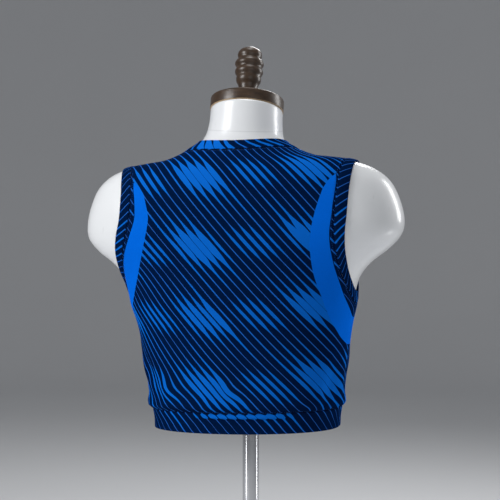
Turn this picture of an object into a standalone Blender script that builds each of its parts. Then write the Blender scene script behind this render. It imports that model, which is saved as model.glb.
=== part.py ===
"""Sleeveless crop top on a counter-top dress form: a printed jersey body with bound armholes, a neckband and a
hem band, worn over a smooth half torso with a turned wooden neck cap, on a chrome pole and a round base.

Metres, +Z up. The origin is the centre of the base's underside, on the pole's axis. The chest faces -Y and the
back +Y, so the wearer's right side is -X.

The torso and the cloth share one figure: a stack of closed rings, each given by a row of FIGURE. A place on the
figure is an angle round the ring, 0 at the middle of the back, +90 on the wearer's left and 180 at the middle of
the chest, and a level, the row's number with its fraction.
"""

import math
from collections import namedtuple

import bmesh
import bpy
from mathutils import Matrix, Vector

# Driving dimensions, in metres
HEM_HEIGHT = 0.345          # the hem's edge above the surface that the base stands on
WALL = 0.0012               # jersey, as a wall
BAND_WALL = 0.0020          # the bands are folded double
CLEARANCE = 0.0012          # from the torso to the cloth's inside
HALF_GAP = 0.00016          # each side of a seam is cut back by this

POLE_RADIUS = 0.0115
POLE_IN_FORM = 0.070        # how far the pole reaches up into the torso's socket
SOCKET_CLEARANCE = 0.0004
BASE_RADIUS = 0.140
BASE_THICKNESS = 0.010
SEAT_GAP = 0.0003

CAP_RADIUS = 0.0508
CAP_THICKNESS = 0.0172
CAP_EDGE = 0.0022
CAP_REST = 0.0003           # the cap's seat on the neck

# Levels of FIGURE, by name, where the cloth's edges and seams lie
HEM_EDGE = 0.0
HEM_SEAM = 2.0
FORM_FOOT = 3.0
UNDERARM_SEAM = 7.05        # lowest point of the seam between body and armhole band
UNDERARM_EDGE = 7.75        # lowest point of the armhole itself
SHOULDER_EDGE = 17.05       # the armhole's highest point, on the shoulder
SHOULDER_SEAM = 17.55       # where the armhole band's seam crosses the shoulder
NECK_SEAM = 20.75           # the neckband's seam at the back and the sides
NECK_EDGE = 22.20           # the neckline at the back and the sides
NECK_SEAM_DROP = 4.20       # levels by which the front neckline lies lower
NECK_EDGE_DROP = 3.90
NECK_TOP = 25.0

# How far an armhole bows in towards the middle of the panel between its lowest and highest points, and how far it
# also swings out low down and in high up. The top sits a little askew, so the two sides differ at the back.
Armhole = namedtuple("Armhole", "bow swing")
ARMHOLES = {
    "back_left": Armhole(0.004, 0.006),
    "back_right": Armhole(0.006, -0.001),
    "front_left": Armhole(0.014, 0.000),
    "front_right": Armhole(0.014, 0.000),
}
BAND_SEAM_BOW = 0.007       # what the band's seam bows more than the armhole
ROW_ARCH = 0.35             # levels by which a panel's rows arch up next to the tip of the shoulder

# Mesh counts
PANEL_COLUMNS = 30
BODY_ROWS = 13               # from the hem band to the underarm
ARMHOLE_ROWS = 16
SHOULDER_ROWS = 4
BAND_STRIPS = 2
FORM_COLUMNS = 44

Ring = namedtuple(
    "Ring",
    "side_z back_z front_z left_drop centre_x centre_y half_width back front squareness"
    " ease_side ease_back ease_front",
)

# One row for each ring. Heights are above the hem's edge and all sizes are in millimetres. side_z, back_z and
# front_z are the ring's height at its two ends and at the middle of the back and of the chest. Its end on the
# wearer's left hangs left_drop below side_z, and the other end as much above it. half_width, back and front are
# the torso's reach from the ring's centre, which lies centre_x to the wearer's left of the pole and centre_y
# behind it. squareness under 1 fills the ring's corners. The ease is the room between the torso and the cloth.
FIGURE = (
    Ring(0, 0, 0, 2.2, 3, 8, 110, 80, 83, 0.84, 16.5, 14.0, 13.0),           # the hem's edge
    Ring(14, 14, 14, 2.2, 3, 8, 110, 80, 84, 0.84, 17.0, 14.0, 13.0),
    Ring(28, 28, 28, 2.2, 3, 9, 112, 81, 86, 0.84, 17.5, 14.0, 13.0),        # seam of the hem band
    Ring(34, 34, 34, 2.2, 3, 9, 113, 81, 87, 0.84, 19.0, 15.0, 14.0),        # the torso's foot
    Ring(62, 62, 62, 2.3, 3, 11, 118, 83, 91, 0.84, 17.0, 12.0, 10.0),
    Ring(104, 104, 104, 2.5, 4, 13, 129, 89, 101, 0.85, 12.0, 7.0, 4.0),
    Ring(140, 141, 140, 2.6, 5, 16, 142, 94, 112, 0.86, 5.5, 3.0, 1.0),
    Ring(168, 170, 167, 2.8, 6, 20, 154, 98, 118, 0.87, 1.2, 0.8, 0.2),      # seam at the underarm
    Ring(190, 195, 188, 2.9, 7, 23, 158, 99, 118, 0.87, 0.3, 0.0, 0.0),
    Ring(208, 216, 206, 3.0, 7, 26, 165, 99, 115, 0.87, 0.0, 0.0, 0.0),
    Ring(226, 236, 223, 3.2, 6, 29, 180, 99, 111, 0.86, 0.0, 0.0, 0.0),
    Ring(243, 254, 240, 3.6, 5, 31, 202, 99, 107, 0.85, 0.0, 0.0, 0.0),
    Ring(260, 271, 256, 3.8, 4, 33, 217, 98, 104, 0.84, 0.0, 0.0, 0.0),
    Ring(278, 287, 271, 3.9, 3, 34, 221, 97, 101, 0.84, 0.0, 0.0, 0.0),      # widest point of the shoulder
    Ring(303, 306, 284, 3.8, 3, 35, 216.5, 96, 98, 0.85, 0.0, 0.0, 0.0),
    Ring(329, 325, 297, 3.6, 3, 36, 205, 92, 93, 0.88, 0.0, 0.0, 0.0),
    Ring(346, 338, 307, 3.2, 3, 37, 186, 87, 87, 0.91, 0.0, 0.0, 0.0),
    Ring(355, 347.5, 315, 3.3, 3, 38, 162, 82, 82, 0.93, 0.0, 0.0, 0.0),     # tip of the shoulder
    Ring(359, 354.5, 323, 3.1, 3, 38, 137, 77, 77, 0.95, 0.0, 0.0, 0.0),
    Ring(362, 361.5, 331, 2.7, 3, 38, 112, 71, 72, 0.97, 0.0, 0.0, 0.0),
    Ring(369, 369, 341, 2.1, 3, 37, 92, 65, 66, 1.00, 0.0, 0.0, 0.0),
    Ring(377, 377.5, 352, 1.3, 3, 36, 76, 60, 61, 1.00, 0.0, 0.0, 0.0),
    Ring(386, 386, 365, 0.5, 2, 35, 62, 56, 56, 1.00, 0.0, 0.0, 0.0),
    Ring(398, 400, 380, 0.0, 1, 33, 54, 52.5, 52.5, 1.00, 0.0, 0.0, 0.0),
    Ring(414, 420, 398, 0.0, 0, 30, 50.5, 50.5, 50.5, 1.00, 0.0, 0.0, 0.0),
    Ring(434, 446, 422, 0.0, 0, 25, 49.5, 49.5, 49.5, 1.00, 0.0, 0.0, 0.0),  # top of the neck
)
MILLIMETRE = 0.001

Fold = namedtuple("Fold", "angle height lean length width rise")

# The cloth's largest folds, each a soft ridge (rise over 0) or trough (rise under 0): the angle round the figure
# and the height above the hem of its middle, how far its upper end leans from upright towards higher angles, then
# its length, half its width and its rise, in millimetres. At the back they drag down towards the middle.
FOLDS = (
    Fold(68, 72, 44, 96, 12, 3.4),
    Fold(56, 58, 50, 90, 11, -2.8),
    Fold(42, 48, 54, 72, 12, 2.6),
    Fold(84, 62, 22, 76, 13, 2.4),
    Fold(92, 43, 90, 80, 10, 3.2),
    Fold(12, 50, 40, 60, 11, 2.0),
    Fold(-46, 52, -14, 56, 12, 1.8),
    Fold(-66, 58, -10, 70, 12, -2.6),
    Fold(-80, 60, -5, 74, 13, 3.0),
    Fold(106, 64, 18, 84, 12, -2.6),
    Fold(124, 58, 34, 80, 12, 3.0),
    Fold(146, 50, 46, 66, 12, -2.0),
    Fold(-108, 62, -16, 80, 12, -2.6),
    Fold(-127, 56, -32, 78, 12, 2.8),
    Fold(-150, 50, -44, 64, 12, -2.0),
)
ARC_PER_DEGREE = 2.25       # millimetres of cloth for each degree round the waist
BLOUSE_RISE = 2.2           # the body swells this much, in millimetres, just above the hem band
BLOUSE_HEIGHT = 7.0
BLOUSE_FALL = 9.0

WHITE = (0.82, 0.83, 0.84, 1.0)
NAVY = (0.006, 0.016, 0.050, 1.0)
BLUE = (0.004, 0.120, 0.520, 1.0)
WALNUT = (0.060, 0.040, 0.026, 1.0)
CHROME = (0.75, 0.75, 0.76, 1.0)


def clear_scene():
    for old in list(bpy.data.objects):
        bpy.data.objects.remove(old, do_unlink=True)


def material(name, colour, roughness, metallic=0.0):
    made = bpy.data.materials.new(name)
    made.use_nodes = True
    shader = made.node_tree.nodes["Principled BSDF"]
    shader.inputs["Base Color"].default_value = colour
    shader.inputs["Roughness"].default_value = roughness
    shader.inputs["Metallic"].default_value = metallic
    return made


# The figure


def ring_at(level):
    """FIGURE's columns at a level, on a smooth curve through the rows."""
    last = len(FIGURE) - 1
    level = min(max(level, 0.0), float(last))
    row = min(int(level), last - 1)
    t = level - row
    before, low, high, after = (FIGURE[min(max(row + k, 0), last)] for k in (-1, 0, 1, 2))

    def curve(a, b, c, d):
        return 0.5 * (2 * b + (c - a) * t + (2 * a - 5 * b + 4 * c - d) * t**2 + (3 * b - a - 3 * c + d) * t**3)

    return Ring(*(curve(*column) for column in zip(before, low, high, after)))


def figure_point(angle, level, eased):
    """A point on the torso, or on the cloth's lining side where it is eased away from the torso."""
    ring = ring_at(level)
    across = math.sin(math.radians(angle))
    along = math.cos(math.radians(angle))
    if along >= 0:
        reach = ring.back + (ring.ease_back if eased else 0.0)
    else:
        reach = ring.front + (ring.ease_front if eased else 0.0)
    width = ring.half_width + (ring.ease_side if eased else 0.0)
    tilt = (ring.back_z - ring.front_z) / 2
    crown = (ring.back_z + ring.front_z) / 2 - ring.side_z
    return Vector((
        (ring.centre_x + width * across) * MILLIMETRE,
        (ring.centre_y + math.copysign(reach * abs(along) ** ring.squareness, along)) * MILLIMETRE,
        HEM_HEIGHT + (ring.side_z + tilt * along + crown * along**2 - ring.left_drop * across) * MILLIMETRE,
    ))


def figure_normal(angle, level, eased):
    """The outward direction there, from the slopes round the ring and up the figure."""
    angle_step = 1.5
    level_step = 0.06
    top = len(FIGURE) - 1
    round_ring = figure_point(angle + angle_step, level, eased) - figure_point(angle - angle_step, level, eased)
    low = max(level - level_step, 0.0)
    high = min(level + level_step, float(top))
    up_figure = figure_point(angle, high, eased) - figure_point(angle, low, eased)
    return up_figure.cross(round_ring).normalized()


def fold_rise(angle, level):
    """How far the folds and the swell over the hem band lift the cloth, in millimetres."""
    height = ring_at(level).side_z
    rise = 0.0
    for fold in FOLDS:
        round_figure = (angle - fold.angle + 180) % 360 - 180
        east = round_figure * ARC_PER_DEGREE
        north = height - fold.height
        lean = math.radians(fold.lean)
        along = north * math.cos(lean) + east * math.sin(lean)
        aside = east * math.cos(lean) - north * math.sin(lean)
        reach = abs(along) / (fold.length / 2)
        if reach < 1:
            rise += fold.rise * math.cos(reach * math.pi / 2) ** 2 * math.exp(-((aside / fold.width) ** 2))
    above_seam = height - FIGURE[int(HEM_SEAM)].side_z
    if above_seam <= 0:
        return 0.0
    swell = BLOUSE_RISE * math.exp(-(((above_seam - BLOUSE_HEIGHT) / BLOUSE_FALL) ** 2))
    return (rise + swell) * min(1.0, above_seam / BLOUSE_HEIGHT)


def cloth_point(place, lift):
    """A point of the cloth, lifted off its lining side."""
    angle, level = place
    base = figure_point(angle, level, True)
    out = figure_normal(angle, level, True)
    return base + out * (CLEARANCE + fold_rise(angle, level) * MILLIMETRE + lift)


# The cloth's cutting lines, as places on the figure


def cloth_half_width(level):
    ring = ring_at(level)
    return ring.half_width + ring.ease_side


def armhole_side(low, high, armhole, rows):
    """Half an armhole's line, from its lowest point over the back or the chest to its highest, as places."""
    low_x = cloth_half_width(low)
    high_x = cloth_half_width(high)
    places = []
    for row in range(rows + 1):
        share = (1 - math.cos(math.pi * row / rows)) / 2
        level = low + (high - low) * share
        inwards = armhole.bow * math.sin(math.pi * share) - armhole.swing * math.sin(2 * math.pi * share)
        x = low_x + (high_x - low_x) * share - inwards / MILLIMETRE
        angle = 90.0
        if 0 < row < rows:
            angle = math.degrees(math.asin(min(1.0, x / cloth_half_width(level))))
        places.append((angle, level))
    return places


def bowed(armhole, more):
    return Armhole(armhole.bow + more, armhole.swing)


def neck_line(angle, level, drop):
    """The level of a neck line at an angle: even round the back, and scooped over the chest."""
    along = math.cos(math.radians(angle))
    return level - (drop * along**4 if along < 0 else 0.0)


def panel_side(armhole):
    """A panel's side, from the hem band up the side seam, round the armhole and over the shoulder to the neck."""
    places = []
    for row in range(BODY_ROWS):
        places.append((90.0, HEM_SEAM + (UNDERARM_SEAM - HEM_SEAM) * row / BODY_ROWS))
    places += armhole_side(UNDERARM_SEAM, SHOULDER_SEAM, bowed(armhole, BAND_SEAM_BOW), ARMHOLE_ROWS)
    for row in range(1, SHOULDER_ROWS + 1):
        places.append((90.0, SHOULDER_SEAM + (NECK_SEAM - SHOULDER_SEAM) * row / SHOULDER_ROWS))
    return places


def panel_middle(row, neck):
    """The level of a row at the panel's middle, where the rows are evenly spaced between the side's corners."""
    if row <= BODY_ROWS:
        return HEM_SEAM + (UNDERARM_SEAM - HEM_SEAM) * row / BODY_ROWS
    return UNDERARM_SEAM + (neck - UNDERARM_SEAM) * (row - BODY_ROWS) / (ARMHOLE_ROWS + SHOULDER_ROWS)


def panel_places(facing):
    """Rows of places over the back or the front panel, from the wearer's right to the left."""
    neck = neck_line(0 if facing == "back" else 180, NECK_SEAM, NECK_SEAM_DROP)
    left = panel_side(ARMHOLES[facing + "_left"])
    right = panel_side(ARMHOLES[facing + "_right"])
    rows = []
    for row, ((left_angle, side_level), (right_angle, _)) in enumerate(zip(left, right)):
        middle_level = panel_middle(row, neck)
        past_underarm = max(0, row - BODY_ROWS)
        arch = ROW_ARCH * min(past_underarm / ARMHOLE_ROWS, (len(left) - 1 - row) / SHOULDER_ROWS, 1)
        places = []
        for column in range(PANEL_COLUMNS + 1):
            share = 2 * column / PANEL_COLUMNS - 1
            angle = share * (left_angle if share > 0 else right_angle)
            rise = 1 - math.cos(share * math.pi / 2) ** 4
            level = middle_level + (side_level - middle_level) * rise + arch * 4 * share**2 * (1 - share**2)
            places.append((angle if facing == "back" else 180 - angle, level))
        rows.append(places)
    return rows


def armhole_band_places(side):
    """Places from the band's seam to the armhole, as rings round the arm on the wearer's left or right side."""
    rings = []
    for strip in range(BAND_STRIPS + 1):
        share = strip / BAND_STRIPS
        low = UNDERARM_SEAM + (UNDERARM_EDGE - UNDERARM_SEAM) * share
        high = SHOULDER_SEAM + (SHOULDER_EDGE - SHOULDER_SEAM) * share
        more = BAND_SEAM_BOW * (1 - share)
        over_back = armhole_side(low, high, bowed(ARMHOLES["back_" + side], more), ARMHOLE_ROWS)
        over_chest = armhole_side(low, high, bowed(ARMHOLES["front_" + side], more), ARMHOLE_ROWS)
        ring = over_back[:-1] + [(180 - angle, level) for angle, level in reversed(over_chest[1:])]
        rings.append([(angle if side == "left" else -angle, level) for angle, level in ring])
    return rings


def ring_angles():
    """The angles of the panels' columns, all round the figure."""
    return [180.0 * column / PANEL_COLUMNS - 90 for column in range(2 * PANEL_COLUMNS)]


def hem_band_places():
    strips = 2
    return [
        [(angle, HEM_EDGE + (HEM_SEAM - HEM_EDGE) * strip / strips) for angle in ring_angles()]
        for strip in range(strips + 1)
    ]


def neckband_places():
    rings = []
    for strip in range(BAND_STRIPS + 1):
        share = strip / BAND_STRIPS
        level = NECK_SEAM + (NECK_EDGE - NECK_SEAM) * share
        drop = NECK_SEAM_DROP + (NECK_EDGE_DROP - NECK_SEAM_DROP) * share
        rings.append([(angle, neck_line(angle, level, drop)) for angle in ring_angles()])
    return rings


# Solids


def finish_mesh(name, mesh, sharp_angle, finish):
    body = bpy.data.objects.new(name, mesh)
    bpy.context.collection.objects.link(body)
    mesh.materials.append(finish)
    mesh.shade_smooth()
    mesh.set_sharp_from_angle(angle=math.radians(sharp_angle))
    return body


def cut_corner(point, before, after, inner):
    """Where a point of a piece's outline goes when the outline's two sides that meet there are cut back."""
    normals = []
    for neighbour in (before, after):
        side = (neighbour - point).normalized()
        inwards = inner - point
        normals.append((inwards - side * inwards.dot(side)).normalized())
    halfway = (normals[0] + normals[1]).normalized()
    return point + halfway * (HALF_GAP / max(halfway.dot(normals[0]), 0.5))


def cut_back(points, closed):
    """Moves the outline of a grid of points inwards, so that it clears its neighbours at the seams."""
    rows, columns = len(points), len(points[0])
    across, upward = range(columns), range(1, rows - 1)
    if closed:
        outlines = [[(row, k) for k in across] for row in (0, rows - 1)]
    else:
        outlines = [
            [(0, k) for k in across]
            + [(j, columns - 1) for j in upward]
            + [(rows - 1, k) for k in reversed(across)]
            + [(j, 0) for j in reversed(upward)]
        ]
    moved = [list(row) for row in points]
    for outline in outlines:
        for n, (j, k) in enumerate(outline):
            before, after = outline[n - 1], outline[(n + 1) % len(outline)]
            inner = points[min(max(j, 1), rows - 2)][k if closed else min(max(k, 1), columns - 2)]
            moved[j][k] = cut_corner(points[j][k], points[before[0]][before[1]], points[after[0]][after[1]], inner)
    return moved


def cloth_wall(name, places, wall, finish, closed=False):
    """A closed wall of cloth over rows of places. A closed one runs on from its last column to its first."""
    inside = cut_back([[cloth_point(place, 0.0) for place in row] for row in places], closed)
    outside = cut_back([[cloth_point(place, wall) for place in row] for row in places], closed)
    bm = bmesh.new()
    rows, columns = len(places), len(places[0])
    inner = [[bm.verts.new(point) for point in row] for row in inside]
    outer = [[bm.verts.new(point) for point in row] for row in outside]
    steps = columns if closed else columns - 1
    for j in range(rows - 1):
        for k in range(steps):
            n = (k + 1) % columns
            bm.faces.new((outer[j][k], outer[j][n], outer[j + 1][n], outer[j + 1][k]))
            bm.faces.new((inner[j][k], inner[j + 1][k], inner[j + 1][n], inner[j][n]))
    for k in range(steps):
        n = (k + 1) % columns
        bm.faces.new((inner[0][k], inner[0][n], outer[0][n], outer[0][k]))
        bm.faces.new((outer[-1][k], outer[-1][n], inner[-1][n], inner[-1][k]))
    if not closed:
        for j in range(rows - 1):
            bm.faces.new((inner[j][0], outer[j][0], outer[j + 1][0], inner[j + 1][0]))
            bm.faces.new((outer[j][-1], inner[j][-1], inner[j + 1][-1], outer[j + 1][-1]))
    bmesh.ops.recalc_face_normals(bm, faces=bm.faces)
    mesh = bpy.data.meshes.new(name)
    bm.to_mesh(mesh)
    bm.free()
    return finish_mesh(name, mesh, 50, finish)


def turned(name, profile, segments, finish, sharp_angle=40):
    """A solid turned about Z from (radius, height) points, which run from the axis up to the axis again."""
    bm = bmesh.new()
    line = [bm.verts.new((radius, 0, height)) for radius, height in profile]
    edges = [bm.edges.new(pair) for pair in zip(line, line[1:])]
    bmesh.ops.spin(
        bm, geom=line + edges, cent=(0, 0, 0), axis=(0, 0, 1), angle=2 * math.pi, steps=segments, use_merge=True
    )
    bmesh.ops.remove_doubles(bm, verts=bm.verts, dist=1e-6)
    bmesh.ops.recalc_face_normals(bm, faces=bm.faces)
    mesh = bpy.data.meshes.new(name)
    bm.to_mesh(mesh)
    bm.free()
    return finish_mesh(name, mesh, sharp_angle, finish)


def rounded_profile(radius, low, high, edge, steps=3):
    """A disc's half section with rounded edges."""
    points = [(0.0, low)]
    for corner_z, start in ((low + edge, -90), (high - edge, 0)):
        for step in range(steps + 1):
            turn = math.radians(start + 90 * step / steps)
            points.append((radius - edge + edge * math.cos(turn), corner_z + edge * math.sin(turn)))
    return points + [(0.0, high)]


FORM_LEVELS = (
    [FORM_FOOT + 0.12, FORM_FOOT + 0.45]
    + [4.0, 5.0, 6.0]
    + [7.0 + 0.5 * step for step in range(30)]
    + [22.0, 22.5, 23.0, 24.0, NECK_TOP]
)


def dress_form(finish):
    """The smooth torso: rings from its flat foot to the neck, closed flat at both ends, with the pole's socket."""
    foot_rounding = 0.94
    bm = bmesh.new()
    rings = []
    foot = figure_point(0, FORM_FOOT, False).z
    centre = Vector((ring_at(FORM_FOOT).centre_x, ring_at(FORM_FOOT).centre_y, 0)) * MILLIMETRE
    centre.z = foot
    angles = [360.0 * column / FORM_COLUMNS for column in range(FORM_COLUMNS)]
    underside = []
    for angle in angles:
        point = figure_point(angle, FORM_FOOT, False)
        underside.append(bm.verts.new(centre + (point - centre) * foot_rounding))
    rings.append(underside)
    for level in FORM_LEVELS:
        rings.append([bm.verts.new(figure_point(angle, level, False)) for angle in angles])
    for low, high in zip(rings, rings[1:]):
        for k in range(FORM_COLUMNS):
            n = (k + 1) % FORM_COLUMNS
            bm.faces.new((low[k], low[n], high[n], high[k]))
    bm.faces.new(rings[0])
    bm.faces.new(rings[-1])
    bmesh.ops.recalc_face_normals(bm, faces=bm.faces)
    mesh = bpy.data.meshes.new("dress_form")
    bm.to_mesh(mesh)
    bm.free()
    body = finish_mesh("dress_form", mesh, 50, finish)

    socket_top = foot + POLE_IN_FORM + SEAT_GAP
    below = 0.02
    bpy.ops.mesh.primitive_cylinder_add(
        vertices=24,
        radius=POLE_RADIUS + SOCKET_CLEARANCE,
        depth=POLE_IN_FORM + SEAT_GAP + below,
        location=(0, 0, (socket_top + foot - below) / 2),
    )
    cutter = bpy.context.object
    cutter.name = "socket_cutter"
    cutter.hide_render = True
    cutter.display_type = "WIRE"
    cut = body.modifiers.new("pole_socket", "BOOLEAN")
    cut.object = cutter
    cut.operation = "DIFFERENCE"
    return body


def neck_frame():
    """The middle of the neck's flat top and the tilt of that top about X."""
    back = figure_point(0, NECK_TOP, False)
    front = figure_point(180, NECK_TOP, False)
    middle = (back + front) / 2
    tilt = math.atan2(back.z - front.z, back.y - front.y)
    return middle, tilt


def neck_cap(finish):
    """The wooden disc on the neck's top, tilted with it."""
    middle, tilt = neck_frame()
    cap = turned("neck_cap", rounded_profile(CAP_RADIUS, CAP_REST, CAP_REST + CAP_THICKNESS, CAP_EDGE), 36, finish)
    cap.location = middle
    cap.rotation_euler = (tilt, 0, 0)
    return cap


# The knob's half section above the cap: radius and height of each ring, in millimetres
KNOB_SECTION = (
    (0.0, 0.0),
    (17.0, 0.0),
    (18.6, 1.6),
    (18.2, 4.0),
    (14.6, 6.4),
    (13.0, 10.0),
    (12.6, 16.0),
    (12.8, 21.4),
    (13.6, 23.6),
    (15.2, 25.8),
    (15.8, 28.6),
    (17.2, 32.0),
    (19.2, 35.6),
    (19.3, 38.6),
    (17.9, 41.4),
    (17.8, 43.4),
    (19.4, 46.4),
    (19.4, 49.8),
    (17.8, 53.0),
    (15.6, 56.4),
    (15.4, 58.6),
    (16.4, 61.6),
    (16.2, 66.0),
    (14.4, 70.6),
    (11.0, 73.8),
    (5.8, 75.6),
    (0.0, 76.0),
)


def finial(finish):
    """The turned knob that stands on the neck cap."""
    middle, tilt = neck_frame()
    foot = CAP_REST + CAP_THICKNESS + SEAT_GAP
    profile = [(radius * MILLIMETRE, foot + height * MILLIMETRE) for radius, height in KNOB_SECTION]
    knob = turned("finial", profile, 24, finish, sharp_angle=60)
    knob.location = middle
    knob.rotation_euler = (tilt, 0, 0)
    return knob


def stand_pole(finish):
    """The chrome tube from the base up into the torso's socket."""
    low = BASE_THICKNESS + SEAT_GAP
    high = figure_point(0, FORM_FOOT, False).z + POLE_IN_FORM
    return turned("stand_pole", rounded_profile(POLE_RADIUS, low, high, 0.0008, steps=2), 20, finish)


def stand_base(finish):
    """The round weighted foot."""
    return turned("stand_base", rounded_profile(BASE_RADIUS, 0.0, BASE_THICKNESS, 0.002, steps=2), 48, finish)


def build():
    clear_scene()
    jersey = material("printed_jersey", NAVY, 0.55)
    bands = material("jersey_bands", BLUE, 0.55)
    shell = material("white_moulded_shell", WHITE, 0.25)
    wood = material("dark_stained_wood", WALNUT, 0.35)
    steel = material("chromed_steel", CHROME, 0.12, metallic=1.0)

    cloth_wall("back_panel", panel_places("back"), WALL, jersey)
    cloth_wall("front_panel", panel_places("front"), WALL, jersey)
    cloth_wall("armhole_band_left", armhole_band_places("left"), BAND_WALL, bands, closed=True)
    cloth_wall("armhole_band_right", armhole_band_places("right"), BAND_WALL, bands, closed=True)
    cloth_wall("neckband", neckband_places(), BAND_WALL, bands, closed=True)
    cloth_wall("hem_band", hem_band_places(), BAND_WALL, bands, closed=True)
    dress_form(shell)
    neck_cap(wood)
    finial(wood)
    stand_pole(steel)
    stand_base(steel)


build()
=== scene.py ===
"""The dressed model of a sleeveless crop top on a counter-top dress form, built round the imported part.

It is laid out as an add-on and is run as a script. Metres, +Z up; the chest faces -Y and the back +Y,
so the wearer's left is +X. A place on the figure is an angle round it, 0 at the middle of the back, +90 on
the wearer's left and 180 at the middle of the chest, and a level, a row of FIGURE with its fraction.
"""

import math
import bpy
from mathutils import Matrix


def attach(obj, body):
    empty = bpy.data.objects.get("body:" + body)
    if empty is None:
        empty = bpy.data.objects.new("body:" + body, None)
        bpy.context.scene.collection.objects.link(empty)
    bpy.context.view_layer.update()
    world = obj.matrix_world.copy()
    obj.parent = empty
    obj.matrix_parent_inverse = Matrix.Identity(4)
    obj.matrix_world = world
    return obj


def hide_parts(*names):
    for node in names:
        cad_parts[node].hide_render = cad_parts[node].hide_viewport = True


bl_info = {
    "name": "Crop top on a dress form",
    "version": (1, 0, 0),
    "blender": (4, 5, 0),
    "location": "View3D > Sidebar > Crop top",
    "description": "Builds a printed jersey crop top, the form that wears it and their stage",
    "category": "Object",
}

from collections import namedtuple
from functools import partial

import bmesh
import bpy
import numpy as np
from bpy.props import FloatProperty, FloatVectorProperty, PointerProperty
from mathutils import Matrix, Vector

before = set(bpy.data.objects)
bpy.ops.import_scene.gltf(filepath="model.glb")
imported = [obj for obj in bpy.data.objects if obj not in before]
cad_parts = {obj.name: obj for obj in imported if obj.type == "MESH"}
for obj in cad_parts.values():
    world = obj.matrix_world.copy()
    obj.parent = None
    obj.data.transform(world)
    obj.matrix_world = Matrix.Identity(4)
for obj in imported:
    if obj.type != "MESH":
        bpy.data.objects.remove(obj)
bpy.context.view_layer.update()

BODY = "root"
MM = 0.001
MERGE = 1e-6                # points this close become one

# The figure and the cloth's cutting lines, as in the part's source

HEM_HEIGHT = 0.345
WALL = 0.0012
BAND_WALL = 0.0020
CLEARANCE = 0.0012
POLE_RADIUS = 0.0115
POLE_IN_FORM = 0.070
POLE_EDGE = 0.0008
BASE_RADIUS = 0.140
BASE_THICKNESS = 0.010
BASE_EDGE = 0.002
SEAT_GAP = 0.0003
CAP_RADIUS = 0.0508
CAP_THICKNESS = 0.0172
CAP_EDGE = 0.0022
CAP_REST = 0.0003
BARE_EDGE = 0.0016          # how high the cap's bare wood reaches
PARTING_HEIGHT = 0.7505     # where the form's parting line is

HEM_EDGE = 0.0
HEM_SEAM = 2.0
FORM_FOOT = 3.0
UNDERARM_SEAM = 7.05
UNDERARM_EDGE = 7.75
SHOULDER_EDGE = 17.05
SHOULDER_SEAM = 17.55
NECK_SEAM = 20.75
NECK_EDGE = 22.20
NECK_SEAM_DROP = 4.20
NECK_EDGE_DROP = 3.90
NECK_TOP = 25.0

Armhole = namedtuple("Armhole", "bow swing")
ARMHOLES = {
    "back_left": Armhole(0.004, 0.006),
    "back_right": Armhole(0.006, -0.001),
    "front_left": Armhole(0.014, 0.000),
    "front_right": Armhole(0.014, 0.000),
}
BAND_SEAM_BOW = 0.007
ROW_ARCH = 0.35

Ring = namedtuple(
    "Ring",
    "side_z back_z front_z left_drop centre_x centre_y half_width back front squareness"
    " ease_side ease_back ease_front",
    defaults=(0.0, 0.0, 0.0),
)
FIGURE = (
    Ring(0, 0, 0, 2.2, 3, 8, 110, 80, 83, 0.84, 16.5, 14.0, 13.0),
    Ring(14, 14, 14, 2.2, 3, 8, 110, 80, 84, 0.84, 17.0, 14.0, 13.0),
    Ring(28, 28, 28, 2.2, 3, 9, 112, 81, 86, 0.84, 17.5, 14.0, 13.0),
    Ring(34, 34, 34, 2.2, 3, 9, 113, 81, 87, 0.84, 19.0, 15.0, 14.0),
    Ring(62, 62, 62, 2.3, 3, 11, 118, 83, 91, 0.84, 17.0, 12.0, 10.0),
    Ring(104, 104, 104, 2.5, 4, 13, 129, 89, 101, 0.85, 12.0, 7.0, 4.0),
    Ring(140, 141, 140, 2.6, 5, 16, 142, 94, 112, 0.86, 5.5, 3.0, 1.0),
    Ring(168, 170, 167, 2.8, 6, 20, 154, 98, 118, 0.87, 1.2, 0.8, 0.2),
    Ring(190, 195, 188, 2.9, 7, 23, 158, 99, 118, 0.87, 0.3, 0.0, 0.0),
    Ring(208, 216, 206, 3.0, 7, 26, 165, 99, 115, 0.87),
    Ring(226, 236, 223, 3.2, 6, 29, 180, 99, 111, 0.86),
    Ring(243, 254, 240, 3.6, 5, 31, 202, 99, 107, 0.85),
    Ring(260, 271, 256, 3.8, 4, 33, 217, 98, 104, 0.84),
    Ring(278, 287, 271, 3.9, 3, 34, 221, 97, 101, 0.84),
    Ring(303, 306, 284, 3.8, 3, 35, 216.5, 96, 98, 0.85),
    Ring(329, 325, 297, 3.6, 3, 36, 205, 92, 93, 0.88),
    Ring(346, 338, 307, 3.2, 3, 37, 186, 87, 87, 0.91),
    Ring(355, 347.5, 315, 3.3, 3, 38, 162, 82, 82, 0.93),
    Ring(359, 354.5, 323, 3.1, 3, 38, 137, 77, 77, 0.95),
    Ring(362, 361.5, 331, 2.7, 3, 38, 112, 71, 72, 0.97),
    Ring(369, 369, 341, 2.1, 3, 37, 92, 65, 66, 1.00),
    Ring(377, 377.5, 352, 1.3, 3, 36, 76, 60, 61, 1.00),
    Ring(386, 386, 365, 0.5, 2, 35, 62, 56, 56, 1.00),
    Ring(398, 400, 380, 0.0, 1, 33, 54, 52.5, 52.5, 1.00),
    Ring(414, 420, 398, 0.0, 0, 30, 50.5, 50.5, 50.5, 1.00),
    Ring(434, 446, 422, 0.0, 0, 25, 49.5, 49.5, 49.5, 1.00),
)
TOP_LEVEL = len(FIGURE) - 1

Fold = namedtuple("Fold", "angle height lean length width rise")

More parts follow.
